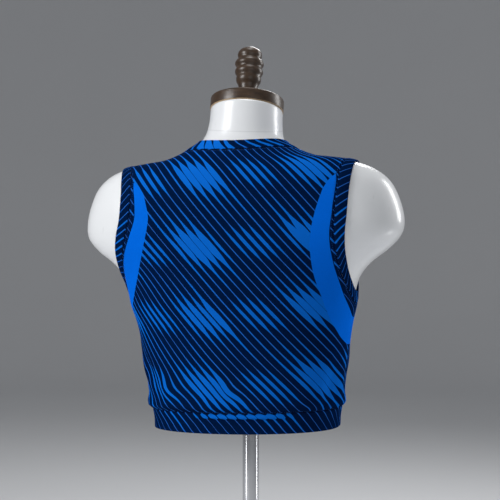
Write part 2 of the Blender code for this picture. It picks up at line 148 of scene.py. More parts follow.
# The largest folds, as in the part's source: the angle and the height above the hem of each one's middle, how
# far its upper end leans towards higher angles, its length, half its width and its rise, in millimetres.
MAIN_FOLDS = (
    Fold(68, 72, 44, 96, 12, 3.4),
    Fold(56, 58, 50, 90, 11, -2.8),
    Fold(42, 48, 54, 72, 12, 2.6),
    Fold(84, 62, 22, 76, 13, 2.4),
    Fold(92, 43, 90, 80, 10, 3.2),
    Fold(12, 50, 40, 60, 11, 2.0),
    Fold(-46, 52, -14, 56, 12, 1.8),
    Fold(-66, 58, -10, 70, 12, -2.6),
    Fold(-80, 60, -5, 74, 13, 3.0),
    Fold(106, 64, 18, 84, 12, -2.6),
    Fold(124, 58, 34, 80, 12, 3.0),
    Fold(146, 50, 46, 66, 12, -2.0),
    Fold(-108, 62, -16, 80, 12, -2.6),
    Fold(-127, 56, -32, 78, 12, 2.8),
    Fold(-150, 50, -44, 64, 12, -2.0),
)
# Finer creases that only show here: drags at the wearer's left of the back, short upright
# puckers at the right, soft drags below the armholes and the shoulders, and their like on the front.
CREASES = (
    Fold(74, 92, 42, 70, 6, 1.3),
    Fold(63, 90, 47, 62, 5, -1.1),
    Fold(51, 80, 53, 66, 6, 1.2),
    Fold(37, 62, 57, 58, 6, -1.0),
    Fold(29, 38, 60, 46, 6, 1.1),
    Fold(80, 44, 56, 48, 5, -1.3),
    Fold(70, 44, 60, 52, 5, 1.3),
    Fold(59, 38, 62, 46, 5, -1.1),
    Fold(78, 112, 30, 60, 7, 1.2),
    Fold(18, 46, 30, 36, 5, -0.9),
    Fold(4, 40, 24, 30, 5, 0.9),
    Fold(-20, 40, -8, 30, 5, 0.8),
    Fold(-34, 44, 6, 34, 5, -0.8),
    Fold(-56, 44, -12, 40, 5, 1.2),
    Fold(-73, 42, -4, 38, 5, -1.1),
    Fold(-86, 46, 4, 44, 6, 0.9),
    Fold(-62, 96, -34, 60, 8, 0.9),
    Fold(-74, 130, -48, 54, 8, -0.7),
    Fold(72, 150, 52, 56, 8, -0.6),
    Fold(44, 336, 70, 60, 8, 0.5),
    Fold(-52, 338, -72, 64, 8, 0.6),
    Fold(0, 322, 90, 70, 10, -0.4),
    Fold(100, 92, -20, 60, 7, 1.2),
    Fold(116, 46, 8, 40, 5, -1.1),
    Fold(134, 44, 30, 44, 5, 1.1),
    Fold(160, 42, 18, 36, 5, 0.9),
    Fold(178, 40, -10, 32, 5, -0.8),
    Fold(-164, 44, -20, 40, 5, 0.9),
    Fold(-142, 46, -28, 46, 5, 1.0),
    Fold(-118, 48, -10, 42, 5, -1.1),
    Fold(-98, 90, 12, 58, 7, 1.2),
    Fold(152, 190, 40, 80, 12, 0.8),
    Fold(-152, 190, -40, 80, 12, 0.8),
)
ARC_PER_DEGREE = 2.25
BLOUSE_RISE = 2.2
BLOUSE_HEIGHT = 7.0
BLOUSE_FALL = 9.0
# The body hangs over the hem band's seam in places: each one's middle angle, half its width and its rise
OVERHANGS = ((52, 36, 4.6), (-86, 16, 0.7), (118, 30, 2.6), (-142, 26, 2.0))
OVERHANG_STEP = 5.0
OVERHANG_FALL = 12.0
TUCK_IN = 1.1               # how far the panels sink in right at that seam, and within what height
TUCK_IN_REACH = 2.4
# Gathers along that seam: the angle of each run's middle, half its width and its rise
GATHERS = ((-76, 24, 0.75), (30, 14, 0.35), (150, 26, 0.6))
GATHERS_ROUND = 68
PUCKER_RISE = 0.32          # the small waves that the hem band's stitching draws up, in millimetres
PUCKER_REACH = 9.0

# The cloth's make
SHELL = 0.0007              # the jersey's thickness
SEAM_DIP = 0.0007           # how far a panel sinks at its seams
SEAM_DIP_REACH = 0.0016
BAND_DIP = 0.0008           # the same for a band
BAND_DIP_REACH = 0.0018
RIM_ROLL = 0.0003           # how far a band's outer leaf bends in towards its fold
BAND_WIDTH = 0.0125         # the neck and armhole bands, folded
HEM_WIDTH = 0.028
COURSE_SHARE = 0.8          # a knitted row's height as a share of a rib's width
STITCH_SHOWS = 0.62         # the share of a stitch that lies on the cloth
EDGE_CROWDING = 0.45        # how much closer the mesh's lines lie at a panel's edges
PANEL_COLUMNS = 150
PANEL_ROWS = 176
OUTLINE_ACROSS = 200        # points along a panel's edges, to measure from
OUTLINE_UP = 260
RING_COLUMNS = 320
OUTER_ROWS = 12             # rows on a band's outer leaf, on the tucked band's, and on the inner leaf
TUCKED_ROWS = 28
INNER_ROWS = 8
FOLD_STEPS = 6              # rows round a band's folded edge

# The tuck that stands up along part of the hem band's top: the angle of its middle, half its width, how far
# below the seam its crest lies, half its height, its rise, and how much wider the stripes are on it, in
# pitches.
TUCK_ANGLE = -7.0
TUCK_REACH = 27.0
TUCK_DROP = 0.0042
TUCK_HALF = 0.0032
TUCK_RISE = 0.0024
TUCK_SWELL = 0.385
ZONE_START = (0.9, 0.2)     # where in its repeat the print's swelling starts, across and upwards, in radians

# The printed flashes: the level where each one's middle line leaves the side seam, how much more that line
# bows than the armhole band's seam, the share of the line at which the flash comes to its point, and its
# width's share
Flash = namedtuple("Flash", "foot bow tip width")
FLASHES = {"left": Flash(6.9, 0.0198, 0.700, 1.04), "right": Flash(5.75, 0.0122, 0.730, 1.08)}
FLASH_GUIDE = 90            # points on that line
# Shares of the way to the point, and how much of the bow is there
BOW_SHARES = (0.0, 0.30, 0.80, 0.90, 1.00)
BOW_PARTS = (0.85, 1.0, 1.0, 0.86, 0.42)
# The same for half the flash's width, in metres
HALF_SHARES = (0.0, 0.33, 0.52, 0.70, 0.80, 0.90, 0.95, 1.0, 1.3)
FLASH_HALVES = (0.0176, 0.0152, 0.0132, 0.0110, 0.0100, 0.0074, 0.0046, -0.0004, -0.0200)
DARK_LINE = 0.0010            # a thin line of the ground's colour along the flash's armhole side

# Where hands have dragged the printed cloth along itself: the angle and height of the middle of the spot, its
# half width and height, and how far the print moved towards higher angles and upwards, in millimetres
Drag = namedtuple("Drag", "angle height width tall across up")
DRAGS = (
    Drag(0, 18, 170, 62, -13, 0),
    Drag(47, 56, 36, 17, 14, 0),
    Drag(64, 78, 20, 16, -5, 2),
    Drag(1, 57, 13, 12, 5, 0),
    Drag(180, 18, 150, 58, -12, 0),
    Drag(-70, 40, 20, 18, 4, 3),
    Drag(-48, 30, 14, 12, -3, 2),
    Drag(112, 52, 24, 20, 5, 4),
    Drag(150, 40, 22, 16, -4, 3),
    Drag(-115, 48, 24, 20, -5, 3),
    Drag(-150, 36, 20, 14, 4, 2),
)

CAMERA_AZIMUTH = 193.0
CAMERA_DISTANCE = 1.728
CAMERA_HEIGHT = 0.583
FLOOR_FLAT = 3.6            # the floor's flat radius, the radius of the sweep that rises from it, and its top
SWEEP = 1.8
SWEEP_STEPS = 12
STUDIO_HEIGHT = 4.0
# Each lamp's place to the left of the camera's view, towards the camera and up, its size, power and aim
Lamp = namedtuple("Lamp", "name left back up width height watts aim")
TOP = (0, 0.03, 0.60)
POLE = (0, 0, 0.24)
LAMPS = (
    Lamp("key", 1.7, 0.95, 1.35, 0.8, 1.1, 28, TOP),
    Lamp("fill", -0.6, 2.4, 1.1, 2.0, 1.6, 7, TOP),
    Lamp("rim", -1.35, -0.50, 1.05, 0.35, 1.0, 9, TOP),
    Lamp("hair", -0.35, -1.30, 1.65, 0.7, 0.3, 11, TOP),
    Lamp("left_strip", 0.80, 0.36, 0.16, 0.10, 0.16, 0.24, POLE),
    Lamp("right_strip", -0.85, -0.03, 0.16, 0.09, 0.16, 0.26, POLE),
    Lamp("top", -0.1, 0.1, 2.2, 0.7, 0.7, 8, TOP),
)


def linear(hex_text):
    """An sRGB hex colour as linear red, green and blue."""
    values = [int(hex_text[k:k + 2], 16) / 255 for k in (1, 3, 5)]
    return tuple(v / 12.92 if v <= 0.04045 else ((v + 0.055) / 1.055) ** 2.4 for v in values)


def length_property(label, words, metres):
    return FloatProperty(name=label, description=words, default=metres, unit="LENGTH")


def slant_property(label, words, degrees):
    return FloatProperty(name=label, description=words, default=math.radians(degrees), subtype="ANGLE")


class CropTopSizes(bpy.types.PropertyGroup):
    """Sizes of the print and the sewing"""

    pitch: length_property("Stripe pitch", "From one printed stripe to the next", 0.0095)
    slant: slant_property("Stripe slant", "How steeply the body's stripes fall", 53)
    band_slant: slant_property("Armhole stripe slant", "How the armhole bands' stripes cross them", 45)
    band_pitch: length_property("Armhole stripe pitch", "From stripe to stripe on the armhole bands", 0.0082)
    neck_slant: slant_property("Neckband stripe slant", "How steeply the neckband's stripes fall", 38)
    zone_width: length_property("Swell width", "Width of the print's repeat of swelling stripes", 0.150)
    zone_height: length_property("Swell height", "Height of that repeat", 0.190)
    wale: length_property("Knit rib", "Width of the jersey's ribs", 0.0011)
    stitch: length_property("Stitch length", "From stitch to stitch", 0.0031)
    thread: length_property("Thread", "The sewing thread's width", 0.00042)
    softness: FloatProperty(
        name="Crease strength", description="How strongly fine creases show", default=1.3, min=0.0, max=1.5
    )


def colour_property(label, words, hex_text):
    return FloatVectorProperty(
        name=label, description=words, default=linear(hex_text), subtype="COLOR", size=3, min=0.0, max=1.0
    )


class CropTopColours(bpy.types.PropertyGroup):
    """Colours of the cloth, the form and the stage"""

    navy: colour_property("Navy", "The cloth's ground", "#02183c")
    blue: colour_property("Stripe blue", "The printed stripes", "#0c66cc")
    faint: colour_property("Faint stripe", "The thinnest printed stripes", "#2a58ac")
    flash: colour_property("Flash blue", "The plain printed flashes at the sides", "#0468de")
    thread: colour_property("Thread", "The sewing thread", "#1b4c9c")
    shell: colour_property("Form white", "The form's moulded shell", "#eceef0")
    wood: colour_property("Wood stain", "The cap and the knob", "#3d2a18")
    bare_wood: colour_property("Bare wood", "The cap's lower edge", "#b59a76")
    steel: colour_property("Chrome", "The pole and the base", "#d2d3d6")
    floor: colour_property("Floor", "The floor", "#d3d4d6")


# The figure, worked out for many places at once


def rings_at(level):
    level = np.clip(np.asarray(level, float), 0.0, TOP_LEVEL)
    row = np.minimum(level.astype(int), TOP_LEVEL - 1)
    t = (level - row)[:, None]
    rows = np.array(FIGURE, float)
    a, b, c, d = (rows[np.clip(row + k, 0, TOP_LEVEL)] for k in (-1, 0, 1, 2))
    curve = 0.5 * (2 * b + (c - a) * t + (2 * a - 5 * b + 4 * c - d) * t**2 + (3 * b - a - 3 * c + d) * t**3)
    return Ring(*curve.T)


def figure_points(angle, level, eased):
    """Points on the torso, or on the cloth's lining side where it is eased away from the torso."""
    ring = rings_at(level)
    across = np.sin(np.radians(angle))
    along = np.cos(np.radians(angle))
    ease = 1.0 if eased else 0.0
    reach = np.where(along >= 0, ring.back + ease * ring.ease_back, ring.front + ease * ring.ease_front)
    width = ring.half_width + ease * ring.ease_side
    tilt = (ring.back_z - ring.front_z) / 2
    crown = (ring.back_z + ring.front_z) / 2 - ring.side_z
    x = ring.centre_x + width * across
    y = ring.centre_y + np.sign(along) * reach * np.abs(along) ** ring.squareness
    z = ring.side_z + tilt * along + crown * along**2 - ring.left_drop * across
    return np.stack([x * MM, y * MM, HEM_HEIGHT + z * MM], axis=1)


def figure_normals(angle, level, eased):
    angle_step = 1.5
    level_step = 0.06
    before, after = angle - angle_step, angle + angle_step
    round_ring = figure_points(after, level, eased) - figure_points(before, level, eased)
    low = np.maximum(level - level_step, 0.0)
    high = np.minimum(level + level_step, float(TOP_LEVEL))
    up_figure = figure_points(angle, high, eased) - figure_points(angle, low, eased)
    out = np.cross(up_figure, round_ring)
    return out / np.linalg.norm(out, axis=1)[:, None]


def turned_from(middle, angle):
    """How far round the figure the angles are from a middle one, from -180 to 180 degrees."""
    return (angle - middle + 180) % 360 - 180


def bell(offset, reach):
    return np.exp(-((offset / reach) ** 2))


def crease_rise(angle, level, folds):
    """How far the folds lift the cloth there, in millimetres."""
    height = rings_at(level).side_z
    rise = np.zeros_like(height)
    for fold in folds:
        east = turned_from(fold.angle, angle) * ARC_PER_DEGREE
        north = height - fold.height
        lean = math.radians(fold.lean)
        along = north * math.cos(lean) + east * math.sin(lean)
        aside = east * math.cos(lean) - north * math.sin(lean)
        reach = np.minimum(np.abs(along) / (fold.length / 2), 1.0)
        rise += fold.rise * np.cos(reach * math.pi / 2) ** 2 * bell(aside, fold.width)
    return rise


def cloth_rise(angle, level):
    """The folds, the swell over the hem band and the small puckers at its seam, in millimetres."""
    softness = bpy.context.scene.crop_top_sizes.softness
    above = rings_at(level).side_z - FIGURE[int(HEM_SEAM)].side_z
    rise = crease_rise(angle, level, MAIN_FOLDS) + softness * crease_rise(angle, level, CREASES)
    rise += BLOUSE_RISE * bell(above - BLOUSE_HEIGHT, BLOUSE_FALL)
    turn = np.radians(angle)
    waves = np.sin(31 * turn + 0.6) + 0.7 * np.sin(47 * turn + 2.1) + 0.5 * np.sin(19 * turn)
    rise += softness * PUCKER_RISE * waves * bell(above, PUCKER_REACH)
    rise *= np.clip(above / BLOUSE_HEIGHT, 0.0, 1.0)
    for middle, width, most in GATHERS:
        fade = bell(turned_from(middle, angle), width) * bell(np.maximum(above, 0.0), PUCKER_REACH)
        rise += softness * most * fade * np.sin(GATHERS_ROUND * turn + 2.0 * np.sin(5 * turn))
    for middle, width, most in OVERHANGS:
        fall = bell(turned_from(middle, angle), width) * bell(np.maximum(above, 0.0), OVERHANG_FALL)
        rise += most * fall * np.clip(above / OVERHANG_STEP, 0.0, 1.0)
    rise -= TUCK_IN * bell(above, TUCK_IN_REACH)
    return np.where(above < 0, 0.0, rise)


def cloth_points(angle, level, lift):
    """Points on the cloth, lifted off its lining side."""
    base = figure_points(angle, level, True)
    out = figure_normals(angle, level, True)
    return base + out * (CLEARANCE + cloth_rise(angle, level) * MM + lift)[:, None]


# The cutting lines, as arrays of angles and levels


def cloth_half_width(level):
    ring = rings_at(level)
    return ring.half_width + ring.ease_side


def armhole_side(low, high, armhole, share):
    """Half an armhole's line at shares of it, from its lowest point to its highest."""
    low_x, high_x = cloth_half_width([low, high])
    level = low + (high - low) * share
    inwards = armhole.bow * np.sin(math.pi * share) - armhole.swing * np.sin(2 * math.pi * share)
    x = low_x + (high_x - low_x) * share - inwards / MM
    angle = np.degrees(np.arcsin(np.clip(x / cloth_half_width(level), -1.0, 1.0)))
    angle[(share <= 0) | (share >= 1)] = 90.0
    return angle, level


def eased_shares(count):
    return (1 - np.cos(math.pi * np.arange(count + 1) / count)) / 2


def bowed(armhole, more):
    return Armhole(armhole.bow + more, armhole.swing)


def neck_line(angle, level, drop):
    along = np.cos(np.radians(angle))
    return level - np.where(along < 0, drop * along**4, 0.0)


# A panel's side has three stretches: the side seam, the armhole and the shoulder. Each one's share of the
# panel's rows is near to its share of the length.
SIDE_ROWS = 60
HOLE_ROWS = 90
SHOULDER_ROWS = 26
SIDE_TOTAL = SIDE_ROWS + HOLE_ROWS + SHOULDER_ROWS


def panel_side(armhole):
    body = HEM_SEAM + (UNDERARM_SEAM - HEM_SEAM) * np.arange(SIDE_ROWS) / SIDE_ROWS
    hole_angle, hole_level = armhole_side(
        UNDERARM_SEAM, SHOULDER_SEAM, bowed(armhole, BAND_SEAM_BOW), eased_shares(HOLE_ROWS)
    )
    shoulder = SHOULDER_SEAM + (NECK_SEAM - SHOULDER_SEAM) * np.arange(1, SHOULDER_ROWS + 1) / SHOULDER_ROWS
    angle = np.concatenate([np.full(SIDE_ROWS, 90.0), hole_angle, np.full(SHOULDER_ROWS, 90.0)])
    return angle, np.concatenate([body, hole_level, shoulder])


def panel_places(facing, across, up):
    """Places on the back or the front: across from -1 to 1 towards the wearer's left, up from 0 to 1."""
    neck = float(neck_line(np.array([0.0 if facing == "back" else 180.0]), NECK_SEAM, NECK_SEAM_DROP)[0])
    left_angle, side_level = panel_side(ARMHOLES[facing + "_left"])
    right_angle, _ = panel_side(ARMHOLES[facing + "_right"])
    row = up * SIDE_TOTAL
    steps = np.arange(SIDE_TOTAL + 1)
    limit = np.where(across > 0, np.interp(row, steps, left_angle), np.interp(row, steps, right_angle))
    side = np.interp(row, steps, side_level)
    middle = np.where(
        row <= SIDE_ROWS,
        HEM_SEAM + (UNDERARM_SEAM - HEM_SEAM) * row / SIDE_ROWS,
        UNDERARM_SEAM + (neck - UNDERARM_SEAM) * (row - SIDE_ROWS) / (HOLE_ROWS + SHOULDER_ROWS),
    )
    past = np.maximum(row - SIDE_ROWS, 0) / HOLE_ROWS
    arch = ROW_ARCH * np.minimum(np.minimum(past, (SIDE_TOTAL - row) / SHOULDER_ROWS), 1.0)
    rise = 1 - np.cos(across * math.pi / 2) ** 4
    level = middle + (side - middle) * rise + arch * 4 * across**2 * (1 - across**2)
    angle = across * limit
    return (angle if facing == "back" else 180 - angle), level


def armhole_ring(side, share):
    """A ring of places round the arm, at a share of the way from the band's seam to the armhole."""
    low = UNDERARM_SEAM + (UNDERARM_EDGE - UNDERARM_SEAM) * share
    high = SHOULDER_SEAM + (SHOULDER_EDGE - SHOULDER_SEAM) * share
    more = BAND_SEAM_BOW * (1 - share)
    steps = eased_shares(RING_COLUMNS // 2)
    back_angle, back_level = armhole_side(low, high, bowed(ARMHOLES["back_" + side], more), steps)
    chest_angle, chest_level = armhole_side(low, high, bowed(ARMHOLES["front_" + side], more), steps)
    angle = np.concatenate([back_angle[:-1], 180 - chest_angle[::-1]])
    level = np.concatenate([back_level[:-1], chest_level[::-1]])
    return (angle if side == "left" else -angle), level


RING_ANGLES = -90.0 + 360.0 * np.arange(RING_COLUMNS + 1) / RING_COLUMNS


def neck_ring(share):
    level = NECK_SEAM + (NECK_EDGE - NECK_SEAM) * share
    drop = NECK_SEAM_DROP + (NECK_EDGE_DROP - NECK_SEAM_DROP) * share
    return RING_ANGLES, neck_line(RING_ANGLES, level, drop)


def hem_ring(share):
    return RING_ANGLES, np.full(RING_COLUMNS + 1, HEM_SEAM + (HEM_EDGE - HEM_SEAM) * share)


# Making a piece


def place_object(name, data):
    placed = bpy.data.objects.new(name, data)
    bpy.context.scene.collection.objects.link(placed)
    return placed


def smooth_object(name, bm, finishes):
    mesh = bpy.data.meshes.new(name)
    bm.to_mesh(mesh)
    bm.free()
    for finish in finishes:
        mesh.materials.append(finish)
    mesh.shade_smooth()
    return place_object(name, mesh)


def keep_piece(name, bm, finishes, slot, *nodes):
    """Makes the mesh an object that rides on the part's one body and stands for its solids."""
    piece = smooth_object(name, bm, finishes)
    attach(piece, BODY)
    if nodes:
        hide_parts(*nodes)
    return piece


def grid_mesh(columns, rows):
    """A square grid and each of its points' shares: across from -1 to 1, up from 0 to 1."""
    bm = bmesh.new()
    bmesh.ops.create_grid(bm, x_segments=columns, y_segments=rows, size=1.0)
    bm.verts.ensure_lookup_table()
    flat = np.array([v.co[:2] for v in bm.verts])
    return bm, flat[:, 0], (flat[:, 1] + 1) / 2


def move_points(bm, points):
    for vert, point in zip(bm.verts, points):
        vert.co = point


def face_out(bm, out):
    """Turns the faces to the side that the directions at the points give."""
    bmesh.ops.recalc_face_normals(bm, faces=bm.faces)
    bm.verts.index_update()
    facing = sum(face.normal.dot(Vector(out[face.verts[0].index])) for face in bm.faces)
    if facing < 0:
        bmesh.ops.reverse_faces(bm, faces=bm.faces)


def add_wall(piece, thickness):
    wall = piece.modifiers.new("cloth_thickness", "SOLIDIFY")
    wall.thickness = thickness
    wall.offset = -1.0
    wall.use_even_offset = False


def lengths_along(line):
    """How far along a line of points each one is."""
    return np.concatenate([[0], np.cumsum(np.linalg.norm(np.diff(line, axis=0), axis=1))])


def nearest(points, line):
    """How far each point is from a line of points, and the share along it of its nearest place."""
    starts, steps = line[:-1], np.diff(line, axis=0)
    far = np.full(len(points), 1e9)
    share = np.zeros(len(points))
    for k, (start, step) in enumerate(zip(starts, steps)):
        t = np.clip((points - start) @ step / max(step @ step, 1e-12), 0.0, 1.0)
        gap = np.linalg.norm(points - start - t[:, None] * step, axis=1)
        closer = gap < far
        far[closer] = gap[closer]
        share[closer] = ((k + t) / len(steps))[closer]
    return far, share


def drag_shift(angle, level):
    """How far the drags move the print over the cloth, in metres: to the right seen from outside, and up."""
    height = rings_at(level).side_z
    shift = np.zeros((len(angle), 2))
    for drag in DRAGS:
        east = bell(turned_from(drag.angle, angle) * ARC_PER_DEGREE, drag.width)
        north = bell(height - drag.height, drag.tall)
        shift += (east * north)[:, None] * [-drag.across * MM, drag.up * MM]
    return shift


def flat_map(piece, level, shift):
    """Writes the panel's flat layout, upright and in metres, less the drags' shifts, as its UV map."""
    mesh = piece.data
    mesh.uv_layers.new(name="UVMap")
    bpy.ops.object.select_all(action="DESELECT")
    bpy.context.view_layer.objects.active = piece
    piece.select_set(True)
    bpy.ops.object.mode_set(mode="EDIT")
    bpy.ops.mesh.select_all(action="SELECT")
    bpy.ops.uv.unwrap(method="CONFORMAL", margin=0.0)
    bpy.ops.object.mode_set(mode="OBJECT")
    piece.select_set(False)
    layer = mesh.uv_layers["UVMap"].data
    flat = np.empty(len(layer) * 2)
    layer.foreach_get("uv", flat)
    flat = flat.reshape(-1, 2)
    corners = np.array([polygon.loop_start for polygon in mesh.polygons])
    area = np.zeros(len(corners))
    for k in (1, 2):
        a = flat[corners + k] - flat[corners]
        b = flat[corners + k + 1] - flat[corners]
        area += np.abs(a[:, 0] * b[:, 1] - a[:, 1] * b[:, 0]) / 2
    scale = math.sqrt(sum(polygon.area for polygon in mesh.polygons) / area.sum())
    middle = (flat.min(axis=0) + flat.max(axis=0)) / 2
    flat = (flat - [middle[0], 0.0]) * scale
    owner = np.empty(len(layer), int)
    mesh.loops.foreach_get("vertex_index", owner)
    if flat[:, 1] @ (level[owner] - level.mean()) < 0:
        flat = -flat
    flat -= shift[owner]
    layer.foreach_set("uv", flat.ravel())


# Materials

SMOOTH = {"interpolation_type": "SMOOTHSTEP"}
COLOUR_MIX = {"out": 2, "data_type": "RGBA"}
STRIPE_BLUR = 0.018         # the dye's soft edge on a stripe, in pitches
FLASH_BLUR = 0.00025        # the same on a flash and on the thin dark line beside it, in metres
DARK_LINE_BLUR = 0.0004


def feed(tree, node, inputs):
    """Sets inputs, given by name or number, each to a value or to the output that feeds it."""
    for name, value in inputs.items():
        if isinstance(value, bpy.types.NodeSocket):
            tree.links.new(value, node.inputs[name])
        else:
            node.inputs[name].default_value = value


def add_node(tree, kind, inputs, out=0, **settings):
    """Adds a node and gives one of its outputs, or the node itself where out is None."""
    node = tree.nodes.new("ShaderNode" + kind)
    for name, value in settings.items():
        setattr(node, name, value)
    feed(tree, node, inputs)
    return node if out is None else node.outputs[out]


def new_material(name):
    """A new material, a function that adds a node to it, and one that feeds its shader."""
    made = bpy.data.materials.new(name)
    made.use_nodes = True
    tree = made.node_tree
    return made, partial(add_node, tree), partial(feed, tree, tree.nodes["Principled BSDF"])


def shade(colour, share=1.0):
    """A colour, lighter or darker by a share, as a node takes it."""
    return (*[value * share for value in colour], 1)


def jersey(name, slant, pitch, shift=0.0, flash=False, tuck=False, thin=0.060, zone_gain=0.37):
    """Printed polyester jersey: fine ribs, a soft blue sheen and dyed stripes that swell and taper.

    The pitch is in metres, and the thin stripes' half width and their gain in a swell are in pitches.
    """
    sizes, colours = bpy.context.scene.crop_top_sizes, bpy.context.scene.crop_top_colours
    made, add, finish = new_material(name)
    uv = add("UVMap", {}, uv_map="UVMap")
    # Across the stripes, in pitches
    turned = {"Rotation": (0, 0, math.pi / 2 - slant), "Scale": (1 / pitch,) * 3, "Location": (shift, 0, 0)}
    across = add("SeparateXYZ", {0: add("Mapping", {"Vector": uv, **turned})})
    from_line = add("Math", {0: across, 1: 0.5}, operation="PINGPONG")
    number = add("Math", {0: across}, operation="ROUND")
    chance = add("TexWhiteNoise", {"W": number}, noise_dimensions="1D")
    # A half-drop repeat of soft lens shapes, leaning as the stripes do, in which they swell
    split = add("SeparateXYZ", {0: uv}, out=None)
    u, v = split.outputs[0], split.outputs[1]
    leaning = add("Math", {0: v, 1: 1 / math.tan(-slant), 2: u}, operation="MULTIPLY_ADD")
    waves = []
    for place, repeat, start in zip((leaning, v), (sizes.zone_width, sizes.zone_height), ZONE_START):
        turn = add("Math", {0: place, 1: 2 * math.pi / repeat, 2: start}, operation="MULTIPLY_ADD")
        waves.append(add("Math", {0: turn}, operation="COSINE"))
    cube = add("Math", {0: waves[1], 1: 3.0}, operation="POWER")
    lens = add("Math", {0: waves[0], 1: cube}, operation="MULTIPLY")
    swell = add("MapRange", {0: lens, 1: -0.05, 2: 0.92, 3: 0.0, 4: zone_gain}, **SMOOTH)
    # Each stripe has its own share of the width, and is thinner where the waves are low
    share = add("MapRange", {0: chance, 1: 0.0, 2: 1.0, 3: 0.62, 4: 1.22})
    swollen = add("Math", {0: swell, 1: share}, operation="MULTIPLY")
    wide = add("Math", {0: waves[0], 1: waves[1]}, operation="MULTIPLY")
    own = add("MapRange", {0: wide, 1: -0.9, 2: 0.6, 3: thin * 0.60, 4: thin * 2.0})
    varied = add("Math", {0: own, 1: share}, operation="MULTIPLY")
    # Between the lenses lie slighter swells
    slight = add("MapRange", {0: lens, 1: -0.12, 2: -0.95, 3: 0.0, 4: zone_gain * 0.55}, **SMOOTH)
    swollen = add("Math", {0: swollen, 1: slight}, operation="ADD")
    if flash:
        strip = add("Attribute", {}, out="Fac", attribute_name="strip", attribute_type="GEOMETRY")
        off_strip = add("Math", {0: 1.0, 1: strip}, operation="SUBTRACT")
        swollen = add("Math", {0: swollen, 1: off_strip}, operation="MULTIPLY")
    half = add("Math", {0: varied, 1: swollen}, operation="ADD")
    if tuck:
        wider = add("Attribute", {}, out="Fac", attribute_name="tuck", attribute_type="GEOMETRY")
        half = add("Math", {0: wider, 1: TUCK_SWELL, 2: half}, operation="MULTIPLY_ADD")
    inside = add("Math", {0: half, 1: from_line}, operation="SUBTRACT")
    stripe = add("MapRange", {0: inside, 1: -STRIPE_BLUR, 2: STRIPE_BLUR, 3: 0.0, 4: 1.0}, **SMOOTH)
    # The thinnest stripes are faint
    full = add("MapRange", {0: half, 1: 0.03, 2: 0.12, 3: 0.0, 4: 1.0})
    blue = add("Mix", {0: full, 6: shade(colours.faint), 7: shade(colours.blue)}, **COLOUR_MIX)
    mottle = add("TexNoise", {"Vector": uv, "Scale": 420.0, "Detail": 3.0})
    navy = {0: mottle, 6: shade(colours.navy, 0.72), 7: shade(colours.navy, 1.3)}
    ground = add("Mix", navy, **COLOUR_MIX)
    cloth = add("Mix", {0: stripe, 6: ground, 7: blue}, **COLOUR_MIX)
    if flash:
        edge = add("Attribute", {}, out="Fac", attribute_name="flash", attribute_type="GEOMETRY")
        plain = add("MapRange", {0: edge, 1: -FLASH_BLUR, 2: FLASH_BLUR, 3: 0.0, 4: 1.0})
        # A thin line of the ground's colour along the flash's armhole side
        near = add("MapRange", {0: edge, 1: -DARK_LINE - DARK_LINE_BLUR, 2: -DARK_LINE, 3: 0.0, 4: 1.0})
        dark_line = add("Math", {0: near, 1: strip}, operation="MULTIPLY")
        cloth = add("Mix", {0: dark_line, 6: cloth, 7: ground}, **COLOUR_MIX)
        dyed = {0: mottle, 6: shade(colours.flash, 0.93), 7: shade(colours.flash, 1.07)}
        dye = add("Mix", dyed, **COLOUR_MIX)
        cloth = add("Mix", {0: plain, 6: cloth, 7: dye}, **COLOUR_MIX)
    # Ribs and courses of the knit, drawn at about twice their real size so that they show
    knit_scale = (1 / sizes.wale, 1 / (COURSE_SHARE * sizes.wale), 1)
    knit = add("SeparateXYZ", {0: add("Mapping", {"Vector": uv, "Scale": knit_scale})}, out=None)
    rib = add("Math", {0: knit.outputs[0], 1: 0.5}, operation="PINGPONG")
    course = add("Math", {0: knit.outputs[1], 1: 0.5}, operation="PINGPONG")
    raised = add("Math", {0: rib, 1: course}, operation="ADD")
    finish({
        "Base Color": cloth,
        "Normal": add("Bump", {"Height": raised, "Distance": 0.00012, "Strength": 0.35}),
        "Roughness": add("MapRange", {0: mottle, 1: 0.2, 2: 0.8, 3: 0.38, 4: 0.48}),
        "Specular IOR Level": 0.0,
        "Sheen Weight": 0.11,
        "Sheen Roughness": 0.22,
        "Sheen Tint": (0.16, 0.36, 1.0, 1),
    })
    return made


def thread_finish():
    """Polyester sewing thread: two plies whose twist shows as fine slanting bands."""
    thread = bpy.context.scene.crop_top_colours.thread
    made, add, finish = new_material("polyester_thread")
    where = add("TexCoord", {}, out="Object")
    plies = {"Vector": where, "Scale": 900.0, "Distortion": 1.0}
    twist = add("TexWave", plies, out=1, bands_direction="DIAGONAL")
    tint = add("Mix", {0: twist, 6: shade(thread, 0.7), 7: shade(thread)}, **COLOUR_MIX)
    finish({"Base Color": tint, "Roughness": 0.45, "Specular IOR Level": 0.2})
    return made


